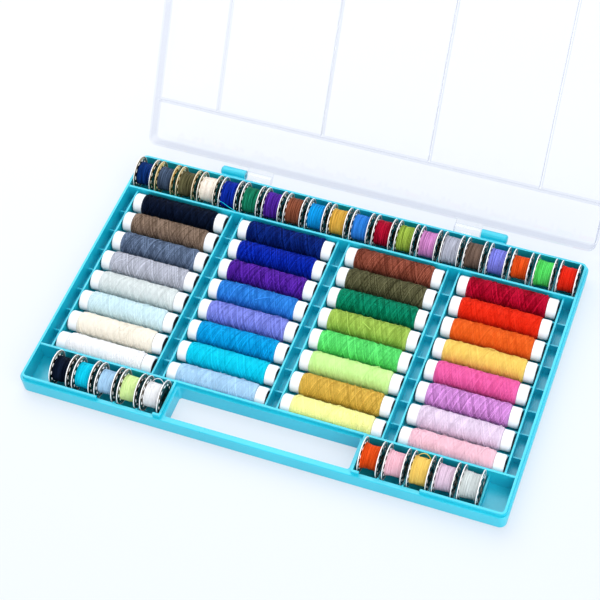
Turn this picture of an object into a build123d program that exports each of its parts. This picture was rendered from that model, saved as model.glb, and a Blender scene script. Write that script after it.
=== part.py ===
"""Flat plastic box for sewing thread.

A moulded tray with a carrying handle holds four columns of wound spools, a row of wound metal
bobbins along the back and a bay of bobbins on each side of the handle. A clear lid with a
handle of its own turns on two stub pins at the back. It stands open here, against its stops.

The origin is the middle of the tray's underside. +X runs to the right, +Y to the hinge side and
+Z up. All sizes are in millimetres.
"""
import os
from math import atan, degrees

from build123d import *

os.makedirs("parts", exist_ok=True)

# Thread colours name the pieces: spools from the hinge side to the handle side in each column,
# bobbins from left to right in the back row
spool_colours = [
    ["black", "taupe", "slate", "lavender_grey", "silver_green", "pale_aqua", "cream", "white"],
    ["navy", "royal_blue", "purple", "medium_blue", "periwinkle", "cerulean", "cyan", "light_blue"],
    ["red_brown", "dark_olive", "dark_green", "olive_green", "bright_green", "lime", "mustard",
     "yellow"],
    ["crimson", "red", "orange", "golden_orange", "hot_pink", "orchid", "light_lilac", "pink"],
]
back_bobbin_colours = [
    "navy", "slate", "dark_olive", "cream", "royal_blue", "emerald", "purple", "red_brown",
    "sky_blue", "mustard", "medium_blue", "crimson", "yellow_green", "orchid", "grey", "taupe",
    "violet", "orange", "green", "red",
]
front_bobbins = 5

# Spool: a plain tube with a winding whose ends taper
spool_length = 57.3
tube_radius = 5.75
tube_bore_radius = 4.6
winding_radius = 6.6
bare_end = 5.6
winding_taper = 2.0
spool_sides = 12

# Bobbin: two thin flanges on a drilled hub, filled with thread short of the flanges' edge
bobbin_radius = 10.1
bobbin_width = 10.8
flange_thickness = 0.6
bobbin_fill_radius = 7.2
bobbin_bore_radius = 3.0
bobbin_sides = 14

# Room round what the tray holds
seat_gap = 0.3
inner_end_play = 0.55
outer_end_play = 1.0
spool_pitch = 15.26
back_bobbin_play = 1.6
front_bobbin_play = 0.87
least_cell_play = 0.7

# Tray walls
floor_thickness = 1.0
ledge_height = 10.4
ledge_width = 1.35
rim_thickness = 1.25
rim_height = 12.8
divider_thickness = 1.25
divider_height = 12.4
corner_radius = 4.5
draft_inset = 0.6
foot_chamfer = 0.8
ledge_chamfer = 0.3

# Ladder channels beside the spools, with a rib between each two rows
channel_gap = 5.6
side_channel_gap = 5.3
channel_wall = 1.0
channel_height = 10.5
row_rib_thickness = 0.9
row_rib_height = 6.2

# Partitions between the bobbins
partition_thickness = 0.9
partition_height = 7.8
partition_post = 0.8

# Handle opening, and the lowered stretch of rim on each side of it
opening_length = 104.4
handle_bar_depth = 3.4
opening_radius = 1.5
rim_stub = 3.4
lowered_rim_length = 33.0

# Hinge
barrel_radius = 3.0
hinge_offset = 4.6
hinge_below_ledge = 1.2
knuckle_inner_x = 56.8
lid_knuckle_length = 15.7
tray_knuckle_length = 15.4
knuckle_gap = 0.5
knuckle_root_top = 9.8
knuckle_end_chamfer = 1.0
pin_radius = 1.25
pin_clearance = 0.05
pin_length = 11.0
pin_end_gap = 1.0
stop_lug_width = 6.0
stop_lug_height = 2.4
lid_open_angle = 121.5

# Lid
lid_gap = 0.3
lid_wall = 1.05
lid_height = 12.5
lid_panel = 1.2
lid_edge_radius = 1.2
lid_rib_thickness = 1.2
lid_long_rib_depth = 4.5
lid_cross_rib_depth = 6.5
lid_pad_depth = 1.25
lid_pad_height = 2.8

# Spool columns, from the middle channel outwards
inner_bay_length = spool_length + 2 * inner_end_play
outer_bay_length = spool_length + 2 * outer_end_play
inner_bay_start = channel_gap / 2 + channel_wall
mid_channel_start = inner_bay_start + inner_bay_length
outer_bay_start = mid_channel_start + 2 * channel_wall + channel_gap
outer_bay_end = outer_bay_start + outer_bay_length
inner_column_x = inner_bay_start + inner_bay_length / 2
outer_column_x = outer_bay_start + outer_bay_length / 2
column_xs = [-outer_column_x, -inner_column_x, inner_column_x, outer_column_x]
channel_wall_xs = [
    inner_bay_start - channel_wall / 2,
    mid_channel_start + channel_wall / 2,
    outer_bay_start - channel_wall / 2,
    outer_bay_end + channel_wall / 2,
]

# Tray plan, from the handle side to the hinge side. The inside is as long as the spools' columns
# or the back row of bobbins needs, whichever is more
rows = len(spool_colours[0])
front_bay_depth = 2 * (bobbin_radius + front_bobbin_play)
back_bay_depth = 2 * (bobbin_radius + back_bobbin_play)
spool_field_depth = rows * spool_pitch
column_field_length = 2 * (outer_bay_end + channel_wall + side_channel_gap)
least_cell = bobbin_width + partition_thickness + 2 * least_cell_play
back_cells = len(back_bobbin_colours)
cavity_length = max(column_field_length, back_cells * least_cell)
cavity_depth = front_bay_depth + divider_thickness + spool_field_depth + back_bay_depth
box_length = cavity_length + 2 * (rim_thickness + ledge_width)
box_depth = cavity_depth + 2 * (rim_thickness + ledge_width)
front_divider_y = -cavity_depth / 2 + front_bay_depth + divider_thickness / 2
back_divider_y = front_divider_y + spool_field_depth
row_ys = [back_divider_y - (row + 0.5) * spool_pitch for row in range(rows)]
row_rib_ys = [back_divider_y - row * spool_pitch for row in range(1, rows)]
front_bay_y = -cavity_depth / 2 + front_bay_depth / 2
back_bay_y = cavity_depth / 2 - back_bay_depth / 2

# Handle opening: its back edge leaves the ledge's width in front of the rim
opening_front_y = -box_depth / 2 + handle_bar_depth
opening_back_y = front_divider_y + divider_thickness / 2 - rim_thickness - ledge_width
opening_depth = opening_back_y - opening_front_y
opening_y = (opening_front_y + opening_back_y) / 2
front_bay_start = opening_length / 2 + ledge_width + rim_thickness
front_bay_length = cavity_length / 2 - front_bay_start

# Bobbin cells: shared out evenly over each bay, as many as fit beside the handle
front_cells = int(front_bay_length // least_cell)
back_cell_pitch = cavity_length / back_cells
front_cell_pitch = front_bay_length / front_cells
back_cell_xs = [(cell + 0.5) * back_cell_pitch - cavity_length / 2 for cell in range(back_cells)]
front_cell_xs = [front_bay_start + (cell + 0.5) * front_cell_pitch for cell in range(front_cells)]

# Heights and hinge line
spool_z = floor_thickness + seat_gap + winding_radius
bobbin_z = floor_thickness + seat_gap + bobbin_radius
hinge_y = box_depth / 2 + hinge_offset
hinge_z = ledge_height - hinge_below_ledge
hinge_axis = Axis((0, hinge_y, hinge_z), (1, 0, 0))
tray_knuckle_x = knuckle_inner_x + lid_knuckle_length + knuckle_gap
lid_bottom = ledge_height + lid_gap
lid_top = lid_bottom + lid_height
lid_ceiling = lid_top - lid_panel
lowered_rim_start = front_bay_start + rim_stub


def polygon_section(radius, sides):
    """Many-sided section whose flats touch the circle, with one flat underneath."""
    RegularPolygon(radius, sides, major_radius=False, rotation=180 / sides - 90)


def knuckle_section(x):
    """Plane across the hinge at x, with its own origin on the hinge line."""
    return Plane(origin=(x, hinge_y, hinge_z), x_dir=(0, 1, 0), z_dir=(1, 0, 0))


# Plan of the tray's inside, with the bay that the handle opening takes out of its front
with BuildSketch() as cavity_plan:
    RectangleRounded(cavity_length, cavity_depth, corner_radius - ledge_width - rim_thickness)
    with Locations((0, front_divider_y + divider_thickness / 2)):
        Rectangle(2 * front_bay_start, cavity_depth, align=(Align.CENTER, Align.MAX),
                  mode=Mode.SUBTRACT)

# Plan of the handle opening
with BuildSketch() as opening_plan:
    with Locations((0, opening_y)):
        RectangleRounded(opening_length, opening_depth, opening_radius)

# Tray
with BuildPart() as tray:
    # Drafted outside, up to the ledge that carries the lid
    with BuildSketch():
        RectangleRounded(box_length - 2 * draft_inset, box_depth - 2 * draft_inset,
                         corner_radius - draft_inset)
    extrude(amount=ledge_height, taper=-degrees(atan(draft_inset / ledge_height)))
    chamfer(tray.edges().group_by(Axis.Z)[-1], ledge_chamfer)
    chamfer(tray.edges().group_by(Axis.Z)[0], foot_chamfer)

    # Rim that locates the lid, all round the inside
    with BuildSketch(Plane.XY.offset(ledge_height / 2)):
        add(cavity_plan.sketch)
        offset(amount=rim_thickness)
    extrude(amount=rim_height - ledge_height / 2)
    with BuildSketch(Plane.XY.offset(floor_thickness)):
        add(cavity_plan.sketch)
    extrude(amount=rim_height, mode=Mode.SUBTRACT)

    # Handle opening, right through
    with BuildSketch():
        add(opening_plan.sketch)
    extrude(amount=rim_height, mode=Mode.SUBTRACT)

    # Lowered stretch of the front rim in each bobbin bay
    with BuildSketch(Plane.XY.offset(ledge_height)):
        for side in (-1, 1):
            with Locations((side * (lowered_rim_start + lowered_rim_length / 2), -box_depth / 2)):
                Rectangle(lowered_rim_length, 2 * (ledge_width + rim_thickness))
    extrude(amount=rim_height, mode=Mode.SUBTRACT)

    # Dividers between the spools and the bobbins
    with BuildSketch(Plane.XY.offset(floor_thickness / 2)):
        with Locations((0, back_divider_y)):
            Rectangle(cavity_length + rim_thickness, divider_thickness)
        for side in (-1, 1):
            with Locations((side * (front_bay_start + front_bay_length / 2), front_divider_y)):
                Rectangle(front_bay_length + rim_thickness, divider_thickness)
    extrude(amount=divider_height - floor_thickness / 2)

    # Walls of the ladder channels
    with BuildSketch(Plane.XY.offset(floor_thickness / 2)):
        for side in (-1, 1):
            for x in channel_wall_xs:
                with Locations((side * x, front_divider_y + spool_field_depth / 2)):
                    Rectangle(channel_wall, spool_field_depth)
    extrude(amount=channel_height - floor_thickness / 2)

    # Low ribs from side to side, one between each two rows of spools
    with BuildSketch(Plane.XY.offset(floor_thickness / 2)):
        with Locations(*[(0, y) for y in row_rib_ys]):
            Rectangle(cavity_length + rim_thickness, row_rib_thickness)
    extrude(amount=row_rib_height - floor_thickness / 2)

    # Partitions between the bobbins of the back row
    with BuildSketch(Plane.XY.offset(floor_thickness / 2)):
        for x in back_cell_xs[1:]:
            with Locations((x - back_cell_pitch / 2, back_bay_y)):
                Rectangle(partition_thickness, back_bay_depth + divider_thickness)
    extrude(amount=partition_height - floor_thickness / 2)

    # Partitions of the two front bays, each with a post up to the ledge at the front wall
    with BuildSketch(Plane.XY.offset(floor_thickness / 2)):
        for side in (-1, 1):
            for x in front_cell_xs[1:]:
                with Locations((side * (x - front_cell_pitch / 2), front_bay_y)):
                    Rectangle(partition_thickness, front_bay_depth + divider_thickness)
    extrude(amount=partition_height - floor_thickness / 2)
    with BuildSketch(Plane.XY.offset(floor_thickness / 2)):
        for side in (-1, 1):
            for x in front_cell_xs[1:]:
                with Locations((side * (x - front_cell_pitch / 2), -cavity_depth / 2)):
                    Rectangle(partition_thickness, 2 * partition_post)
    extrude(amount=ledge_height - floor_thickness / 2)

    # Hinge knuckles: a barrel on a lower root, with a blind bore for the lid's pin
    for side in (-1, 1):
        with BuildSketch(knuckle_section(side * tray_knuckle_x)):
            Circle(barrel_radius)
        extrude(amount=side * tray_knuckle_length)
        ends = tray.edges(Select.LAST).filter_by(GeomType.CIRCLE).sort_by(Axis.X)
        chamfer(ends[-1 if side > 0 else 0], knuckle_end_chamfer)
        with BuildSketch(knuckle_section(side * tray_knuckle_x)):
            with Locations((0, -barrel_radius)):
                Rectangle(hinge_offset + rim_thickness, knuckle_root_top - hinge_z + barrel_radius,
                          align=(Align.MAX, Align.MIN))
        extrude(amount=side * (tray_knuckle_length - knuckle_end_chamfer))
        with BuildSketch(knuckle_section(side * tray_knuckle_x)):
            Circle(pin_radius + pin_clearance)
        extrude(amount=side * (pin_length - knuckle_gap + pin_end_gap), mode=Mode.SUBTRACT)

tray.part.label = "tray"
export_step(tray.part, "parts/tray.step")

# Lid, drawn shut on the tray's ledge
with BuildPart() as lid:
    # Outer shell, with the handle opening and a rounded top edge
    with BuildSketch(Plane.XY.offset(lid_bottom)):
        RectangleRounded(box_length, box_depth, corner_radius)
        add(opening_plan.sketch, mode=Mode.SUBTRACT)
    extrude(amount=lid_height)
    fillet(lid.faces().sort_by(Axis.Z)[-1].outer_wire().edges(), lid_edge_radius)

    # Inside of the lid, which leaves walls over the ledge and round the opening
    with BuildSketch(Plane.XY.offset(lid_bottom)):
        RectangleRounded(box_length - 2 * lid_wall, box_depth - 2 * lid_wall,
                         corner_radius - lid_wall)
        with Locations((0, opening_y)):
            RectangleRounded(opening_length + 2 * lid_wall, opening_depth + 2 * lid_wall,
                             opening_radius + lid_wall, mode=Mode.SUBTRACT)
    extrude(amount=lid_height - lid_panel, mode=Mode.SUBTRACT)

    # Long ribs over the middle of each column of spools
    rib_front_y = opening_back_y + lid_wall / 2
    with BuildSketch(Plane.XY.offset(lid_ceiling + lid_panel / 2)):
        with Locations(*[(x, rib_front_y) for x in column_xs]):
            Rectangle(lid_rib_thickness, back_divider_y - rib_front_y,
                      align=(Align.CENTER, Align.MIN))
    extrude(amount=-lid_long_rib_depth - lid_panel / 2)

    # Cross ribs over the dividers, which keep the bobbins in their bays
    with BuildSketch(Plane.XY.offset(lid_ceiling + lid_panel / 2)):
        with Locations((0, back_divider_y)):
            Rectangle(box_length - lid_wall, lid_rib_thickness)
        for side in (-1, 1):
            with Locations((side * opening_length / 2, rib_front_y)):
                Rectangle((box_length - lid_wall - opening_length) / 2, lid_rib_thickness,
                          align=(Align.MIN if side > 0 else Align.MAX, Align.MIN))
    extrude(amount=-lid_cross_rib_depth - lid_panel / 2)

    # Pads on the front wall, which drop into the lowered stretches of the tray's rim
    with BuildSketch(Plane.XY.offset(lid_bottom)):
        for side in (-1, 1):
            with Locations((side * (lowered_rim_start + lowered_rim_length / 2),
                            lid_wall / 2 - box_depth / 2)):
                Rectangle(lowered_rim_length - 2 * lid_gap, lid_wall / 2 + lid_pad_depth,
                          align=(Align.CENTER, Align.MIN))
    extrude(amount=lid_pad_height)

    # Hinge knuckles: a barrel, an arm to the wall, a stub pin and a lug that stops the lid
    for side in (-1, 1):
        with BuildSketch(knuckle_section(side * knuckle_inner_x)):
            Circle(barrel_radius)
            with Locations((0, lid_bottom - hinge_z)):
                Rectangle(hinge_offset + lid_wall / 2, barrel_radius - lid_bottom + hinge_z,
                          align=(Align.MAX, Align.MIN))
        extrude(amount=side * lid_knuckle_length)
        with BuildSketch(knuckle_section(side * (knuckle_inner_x + lid_knuckle_length / 2))):
            Circle(pin_radius)
        extrude(amount=side * (lid_knuckle_length / 2 + pin_length))
        with BuildSketch(knuckle_section(side * (knuckle_inner_x + lid_knuckle_length / 2))):
            with Locations(Location((0, 0, 0), (0, 0, lid_open_angle))):
                Rectangle(hinge_offset - lid_gap, stop_lug_height, align=(Align.MAX, Align.CENTER))
        extrude(amount=stop_lug_width / 2, both=True)

# The lid swings back until its lugs meet the tray's wall
open_lid = lid.part.rotate(hinge_axis, -lid_open_angle)
open_lid.label = "lid"
export_step(open_lid, "parts/lid.step")

# Spool along X, its middle at the origin
with BuildPart() as spool_blank:
    with BuildSketch(Plane.YZ):
        polygon_section(winding_radius, spool_sides)
    extrude(amount=spool_length / 2 - bare_end, both=True)
    for end in spool_blank.faces().filter_by(Axis.X):
        chamfer(end.edges(), winding_radius - tube_radius, winding_taper, reference=end)
    with BuildSketch(Plane.YZ):
        polygon_section(tube_radius, spool_sides)
    extrude(amount=spool_length / 2, both=True)
    with BuildSketch(Plane.YZ):
        polygon_section(tube_bore_radius, spool_sides)
    extrude(amount=spool_length, both=True, mode=Mode.SUBTRACT)

# Bobbin along X, its middle at the origin
with BuildPart() as bobbin_blank:
    with BuildSketch(Plane.YZ):
        polygon_section(bobbin_fill_radius, bobbin_sides)
    extrude(amount=bobbin_width / 2, both=True)
    for side in (-1, 1):
        with BuildSketch(Plane.YZ.offset(side * (bobbin_width / 2 - flange_thickness))):
            polygon_section(bobbin_radius, bobbin_sides)
        extrude(amount=side * flange_thickness)
    with BuildSketch(Plane.YZ):
        polygon_section(bobbin_bore_radius, bobbin_sides)
    extrude(amount=bobbin_width, both=True, mode=Mode.SUBTRACT)

# Spools, each lying in its row
for x, column in zip(column_xs, spool_colours):
    for y, colour in zip(row_ys, column):
        with BuildPart() as spool:
            with Locations((x, y, spool_z)):
                add(spool_blank.part)
        spool.part.label = f"spool_{colour}"
        export_step(spool.part, f"parts/spool_{colour}.step")

# Bobbins of the back row, each standing in its cell
for x, colour in zip(back_cell_xs, back_bobbin_colours):
    with BuildPart() as bobbin:
        with Locations((x, back_bay_y, bobbin_z)):
            add(bobbin_blank.part)
    bobbin.part.label = f"bobbin_{colour}"
    export_step(bobbin.part, f"parts/bobbin_{colour}.step")

# Bobbins of the front bays, which leave the outermost cell empty
for side, name in ((-1, "front_bobbins_left"), (1, "front_bobbins_right")):
    with BuildPart() as bobbins:
        with Locations(*[(side * x, front_bay_y, bobbin_z) for x in front_cell_xs[:front_bobbins]]):
            add(bobbin_blank.part)
    bobbins.part.label = name
    export_step(bobbins.part, f"parts/{name}.step")
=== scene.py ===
# %% [markdown]
# # A box of sewing thread
#
# The object is a flat turquoise tray with a clear hinged lid. It holds 32 small thread spools in
# four columns, a row of 20 wound metal bobbins along the hinge, and five more on each side of the
# handle. The CAD model gives the sizes and the joints. This script gives it its looks: moulded
# plastic, a clear lid, pressed metal, and above all the thread, which is what the eye goes to.
#
# Every piece is made where the CAD model has it, in metres, so nothing is placed by eye.

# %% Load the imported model
import math

import bpy
import numpy as np
from mathutils import Euler, Matrix, Vector


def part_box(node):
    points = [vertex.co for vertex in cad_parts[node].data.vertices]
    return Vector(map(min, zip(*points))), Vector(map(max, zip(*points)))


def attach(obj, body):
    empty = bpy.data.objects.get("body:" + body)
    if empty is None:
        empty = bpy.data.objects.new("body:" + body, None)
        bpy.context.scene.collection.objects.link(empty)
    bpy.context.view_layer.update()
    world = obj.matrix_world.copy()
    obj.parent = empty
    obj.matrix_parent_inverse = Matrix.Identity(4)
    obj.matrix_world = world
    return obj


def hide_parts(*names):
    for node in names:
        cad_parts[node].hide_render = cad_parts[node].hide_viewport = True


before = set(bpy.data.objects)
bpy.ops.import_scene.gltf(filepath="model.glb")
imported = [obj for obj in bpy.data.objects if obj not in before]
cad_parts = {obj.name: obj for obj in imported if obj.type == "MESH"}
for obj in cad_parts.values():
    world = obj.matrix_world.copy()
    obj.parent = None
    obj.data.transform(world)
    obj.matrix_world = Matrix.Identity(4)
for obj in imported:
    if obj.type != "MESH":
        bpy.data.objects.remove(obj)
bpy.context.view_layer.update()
mm = 0.001
scene = bpy.context.scene
scene.view_settings.view_transform = "Standard"

# %% [markdown]
# ## Camera
#
# The photograph was taken from above and a little to the right, with a long lens. The place and
# the turn of the camera were worked out from the tray's own edges, whose real places the CAD
# model gives, so the render can be laid over the photograph.

# %% Camera
camera_data = bpy.data.cameras.new("photo_camera")
camera_data.sensor_width = 36.0
camera_data.lens = 98.45
camera = bpy.data.objects.new("photo_camera", camera_data)
camera.location = (0.21039, -0.50376, 0.74130)
camera.rotation_euler = Euler([math.radians(turn) for turn in (37.468, 2.356, 20.023)])
scene.collection.objects.link(camera)
scene.camera = camera
print("camera height:", round(camera.location.z, 3))

# %% [markdown]
# ## Node trees from Python
#
# A material or a Geometry Nodes tree is a graph of small nodes. Written out link by link it is
# long and hard to read, so two small classes do the wiring. `Graph.node` adds any node: its type,
# then its settings, then what its sockets get. It gives back a `Wire`, and arithmetic on wires
# adds Math nodes, so a formula can be written as a formula.

# %% Wires and graphs
class Wire:
    """An output socket. Arithmetic on it adds Math nodes to its graph."""

    def __init__(self, graph, socket):
        self.graph, self.socket = graph, socket

    def out(self, name):
        """Another output of the same node."""
        return Wire(self.graph, self.graph.pick(self.socket.node.outputs, name))

    def maths(self, operation, *values):
        return self.graph.node("ShaderNodeMath", {"operation": operation}, list(values))

    def __add__(self, other):
        return self.maths("ADD", self, other)

    def __radd__(self, other):
        return self.maths("ADD", other, self)

    def __sub__(self, other):
        return self.maths("SUBTRACT", self, other)

    def __rsub__(self, other):
        return self.maths("SUBTRACT", other, self)

    def __mul__(self, other):
        return self.maths("MULTIPLY", self, other)

    def __rmul__(self, other):
        return self.maths("MULTIPLY", other, self)

    def __truediv__(self, other):
        return self.maths("DIVIDE", self, other)

    def __rtruediv__(self, other):
        return self.maths("DIVIDE", other, self)

    def __pow__(self, other):
        return self.maths("POWER", self, other)

    def sin(self):
        return self.maths("SINE", self)

    def cos(self):
        return self.maths("COSINE", self)

    def abs(self):
        return self.maths("ABSOLUTE", self)

    def floor(self):
        return self.maths("FLOOR", self)

    def round(self):
        return self.maths("ROUND", self)

    def pingpong(self, reach):
        return self.maths("PINGPONG", self, reach)

    def least(self, other):
        return self.maths("MINIMUM", self, other)

    def most(self, other):
        return self.maths("MAXIMUM", self, other)

    def over(self, other):
        return self.maths("GREATER_THAN", self, other)

    def spread(self, low, high, to_low=0.0, to_high=1.0, kind="LINEAR"):
        """The value taken from one range to another, and held inside it."""
        return self.graph.node(
            "ShaderNodeMapRange", {"clamp": True, "interpolation_type": kind},
            {"Value": self, "From Min": low, "From Max": high, "To Min": to_low,
             "To Max": to_high})


class Graph:
    """A node tree, and the one method that adds a node to it."""

    def __init__(self, tree):
        self.tree = tree

    @staticmethod
    def pick(sockets, name):
        if isinstance(name, int):
            return sockets[name]
        by_identifier = [s for s in sockets if s.identifier == name]
        return (by_identifier or [s for s in sockets if s.name == name and s.enabled])[0]

    def give(self, socket, value):
        if isinstance(value, Wire):
            self.tree.links.new(value.socket, socket)
        else:
            socket.default_value = value

    def node(self, kind, settings=None, sockets=None, out=0):
        made = self.tree.nodes.new(kind)
        for name, value in (settings or {}).items():
            setattr(made, name, value)
        pairs = enumerate(sockets) if isinstance(sockets, list) else (sockets or {}).items()
        for name, value in pairs:
            self.give(self.pick(made.inputs, name), value)
        return Wire(self, self.pick(made.outputs, out))

    def blend(self, share, first, second):
        return self.node("ShaderNodeMix", {"data_type": "RGBA"},
                         {"Factor_Float": share, "A_Color": first, "B_Color": second},
                         out="Result_Color")


print("graph helpers ready")

# %% [markdown]
# ## Colours
#
# Colours are written as ordinary screen values: first judged from the photograph, then tuned
# until the render's threads looked like its threads. Blender's shaders work in linear light, so
# each one is turned before use.

# %% Linear colour
def linear(red, green, blue):
    """A screen colour, 0 to 255, as a shader colour."""
    def channel(value):
        value = value / 255.0
        return value / 12.92 if value <= 0.04045 else ((value + 0.055) / 1.055) ** 2.4
    return (channel(red), channel(green), channel(blue), 1.0)


print("mid grey in linear light:", round(linear(128, 128, 128)[0], 3))


# %% Material helper
class Finish(Graph):
    """A material with one Principled shader."""

    def __init__(self, name, **constants):
        self.material = bpy.data.materials.new(name)
        self.material.use_nodes = True
        super().__init__(self.material.node_tree)
        self.tree.nodes.clear()
        self.shader = self.node("ShaderNodeBsdfPrincipled").socket.node
        self.output = self.tree.nodes.new("ShaderNodeOutputMaterial")
        self.tree.links.new(self.shader.outputs[0], self.output.inputs["Surface"])
        for name, value in constants.items():
            self.shader.inputs[name.replace("_", " ")].default_value = value

    def feed(self, **wires):
        for name, wire in wires.items():
            self.give(self.shader.inputs[name.replace("_", " ")], wire)

    def noise(self, scale, detail=2.0, roughness=0.5, vector=None):
        if vector is None:
            vector = self.node("ShaderNodeTexCoord", out="Object")
        return self.node("ShaderNodeTexNoise", {},
                         {"Vector": vector, "Scale": scale, "Detail": detail,
                          "Roughness": roughness}, out="Fac")

    def bump(self, height, distance, strength=1.0):
        return self.node("ShaderNodeBump", {},
                         {"Height": height, "Distance": distance, "Strength": strength})


print("material helper ready")

# %% [markdown]
# ## Turquoise moulded plastic
#
# The tray is one glossy injection moulding. Such plastic is not one flat colour: the pigment
# clouds a little where the melt flowed, and the polished mould leaves a faint ripple that shows
# only in reflections. Noise of a few centimetres drives the colour, and finer noise drives the
# gloss and a very small bump.

# %% Tray plastic
def turquoise_plastic():
    finish = Finish("turquoise_plastic", IOR=1.5, Specular_IOR_Level=0.64)
    cloud = finish.noise(22.0, 3.0)
    grain = finish.noise(900.0, 2.0)
    ripple = finish.noise(130.0, 1.0)
    tone = finish.blend(cloud.spread(0.35, 0.65), linear(16, 190, 211), linear(32, 197, 217))
    finish.feed(
        Base_Color=tone,
        Roughness=cloud.spread(0.3, 0.7, 0.26, 0.34) + grain * 0.04,
        Normal=finish.bump(ripple * 0.8 + grain * 0.2, 0.00006, 0.6),
    )
    return finish.material


tray_plastic = turquoise_plastic()
print("made", tray_plastic.name)

# %% [markdown]
# ## Clear lid plastic
#
# The lid is clear polystyrene, barely over a millimetre thick. A sheet that thin shifts what lies
# behind it by next to nothing, so nearly all the light goes straight on and only a small share
# is bent. Rays that only carry lamp light are never bent, because the lid would cast a black
# shadow otherwise. A ray that leaves at a glancing angle is tinted, which draws the walls and the
# ribs. Outer faces also mirror the studio, more at a glancing angle, through a few fine scuffs.

# %% Clear plastic
def clear_plastic():
    finish = Finish("clear_plastic", IOR=1.04, Transmission_Weight=1.0)
    scuff = finish.noise(260.0, 5.0, 0.6)
    flow = finish.noise(14.0, 2.0)
    roughness = scuff.spread(0.55, 0.8, 0.02, 0.09)
    ripple = finish.bump(flow, 0.0002, 0.25)
    finish.feed(
        Base_Color=finish.blend(flow.spread(0.4, 0.6), linear(255, 255, 255),
                                linear(252, 252, 254)),
        Roughness=roughness,
        Normal=ripple,
    )
    straight_share, face_on_gloss, glancing_gloss = 0.95, 0.045, 0.9
    rays = finish.node("ShaderNodeLightPath", out="Is Shadow Ray")
    straight = rays.most(rays.out("Is Diffuse Ray")).most(straight_share)
    edge_on = finish.node("ShaderNodeLayerWeight", {}, {"Blend": 0.5}, out="Facing")
    depth = finish.blend(edge_on ** 3.0, linear(255, 255, 255), linear(204, 209, 224))
    through = finish.node("ShaderNodeBsdfTransparent", {}, {"Color": depth})
    both = finish.node("ShaderNodeMixShader", {},
                       {0: straight, 1: Wire(finish, finish.shader.outputs[0]), 2: through})
    gloss = finish.node("ShaderNodeBsdfAnisotropic", {},
                        {"Color": linear(255, 255, 255), "Roughness": roughness,
                         "Normal": ripple})
    outside = 1.0 - finish.node("ShaderNodeNewGeometry", out="Backfacing")
    mirror = (edge_on ** 5.0 * glancing_gloss + face_on_gloss) * outside
    surface = finish.node("ShaderNodeMixShader", {}, {0: mirror, 1: both, 2: gloss})
    finish.tree.links.new(surface.socket, finish.output.inputs["Surface"])
    return finish.material


lid_clear = clear_plastic()
print("made", lid_clear.name)

# %% [markdown]
# ## Crisp edges on the mouldings
#
# The tray and the lid keep their CAD shapes. A CAD mesh is loose triangles with knife edges, but
# a moulded edge is a tiny radius, and it is that radius that catches the light as a bright line.
# Four modifiers do it: Weld joins the triangles, Decimate merges the flat ones, Bevel rounds
# every real edge, and Weighted Normal keeps the flats flat.

# %% Rounded edges by modifiers
def soften_edges(piece, width):
    weld = piece.modifiers.new("join_triangles", "WELD")
    weld.merge_threshold = 0.000002
    flats = piece.modifiers.new("merge_flats", "DECIMATE")
    flats.decimate_type = "DISSOLVE"
    flats.angle_limit = math.radians(0.5)
    bevel = piece.modifiers.new("moulded_edges", "BEVEL")
    bevel.width = width
    bevel.segments = 2
    bevel.limit_method = "ANGLE"
    bevel.angle_limit = math.radians(35.0)
    bevel.use_clamp_overlap = True
    normals = piece.modifiers.new("even_normals", "WEIGHTED_NORMAL")
    normals.keep_sharp = False
    normals.weight = 80


def dress(node, material, width):
    """A CAD node with a better material and rounded edges."""
    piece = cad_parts[node]
    piece.data.materials.clear()
    piece.data.materials.append(material)
    soften_edges(piece, width)
    return piece


tray = dress("tray", tray_plastic, 0.22 * mm)
lid = dress("lid", lid_clear, 0.15 * mm)
print("dressed:", tray.name, lid.name)

# %% [markdown]
# ## White plastic and nickel plate
#
# The spools are white polypropylene tubes, a little waxy. The bobbins are nickel-plated steel,
# bright, with fine turning marks and the odd dull patch. Their plate is given a darker colour
# than nickel, as painted shade, and the curled edge and the pressed ovals are painted near white
# and less metallic, as painted highlights.
# Inside each tube's bore the white is painted dark grey as painted shade.

# %% Tube plastic and metal
def white_plastic():
    finish = Finish("white_plastic", IOR=1.5)
    cloud = finish.noise(60.0, 2.0)
    grain = finish.noise(1500.0, 2.0)
    inside = finish.node("ShaderNodeAttribute", {"attribute_name": "inside"}, out="Fac")
    outside = finish.blend(cloud, linear(240, 241, 242), linear(247, 247, 247))
    finish.feed(
        # Inside the bore the white is painted dark grey: painted shade in the hollow tube.
        Base_Color=finish.blend(inside, outside, linear(74, 80, 84)),
        Roughness=cloud.spread(0.3, 0.7, 0.3, 0.38),
        Normal=finish.bump(grain, 0.00002, 0.4),
    )
    return finish.material


def nickel_plate():
    finish = Finish("nickel_plate")
    patch = finish.noise(160.0, 2.0)
    scratch = finish.noise(2600.0, 3.0)
    rim = finish.node("ShaderNodeAttribute", {"attribute_name": "rim"}, out="Fac")
    # Both plate colours are darker than bright nickel: painted shade for the dark gaps the plate
    # mirrors. The blend between them is the odd dull patch.
    plate = finish.blend(patch.spread(0.4, 0.7), linear(144, 138, 128), linear(104, 92, 74))
    warm = finish.node("ShaderNodeAttribute", {"attribute_name": "warm"}, out="Fac")
    # The curl and the ovals are painted near white, less metallic and rougher: painted
    # highlights.
    plated = finish.blend((rim * 1.7).least(1.0), plate, linear(253, 252, 250))
    finish.feed(
        Base_Color=finish.blend(warm, plated, linear(214, 184, 104)),
        Metallic=1.0 - rim * 0.85,
        Roughness=patch.spread(0.3, 0.7, 0.12, 0.2) + scratch * 0.05 + rim * 0.1,
        Normal=finish.bump(scratch, 0.000004, 0.2),
    )
    return finish.material


tube_plastic, bobbin_metal = white_plastic(), nickel_plate()
print("made", tube_plastic.name, bobbin_metal.name)
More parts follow.
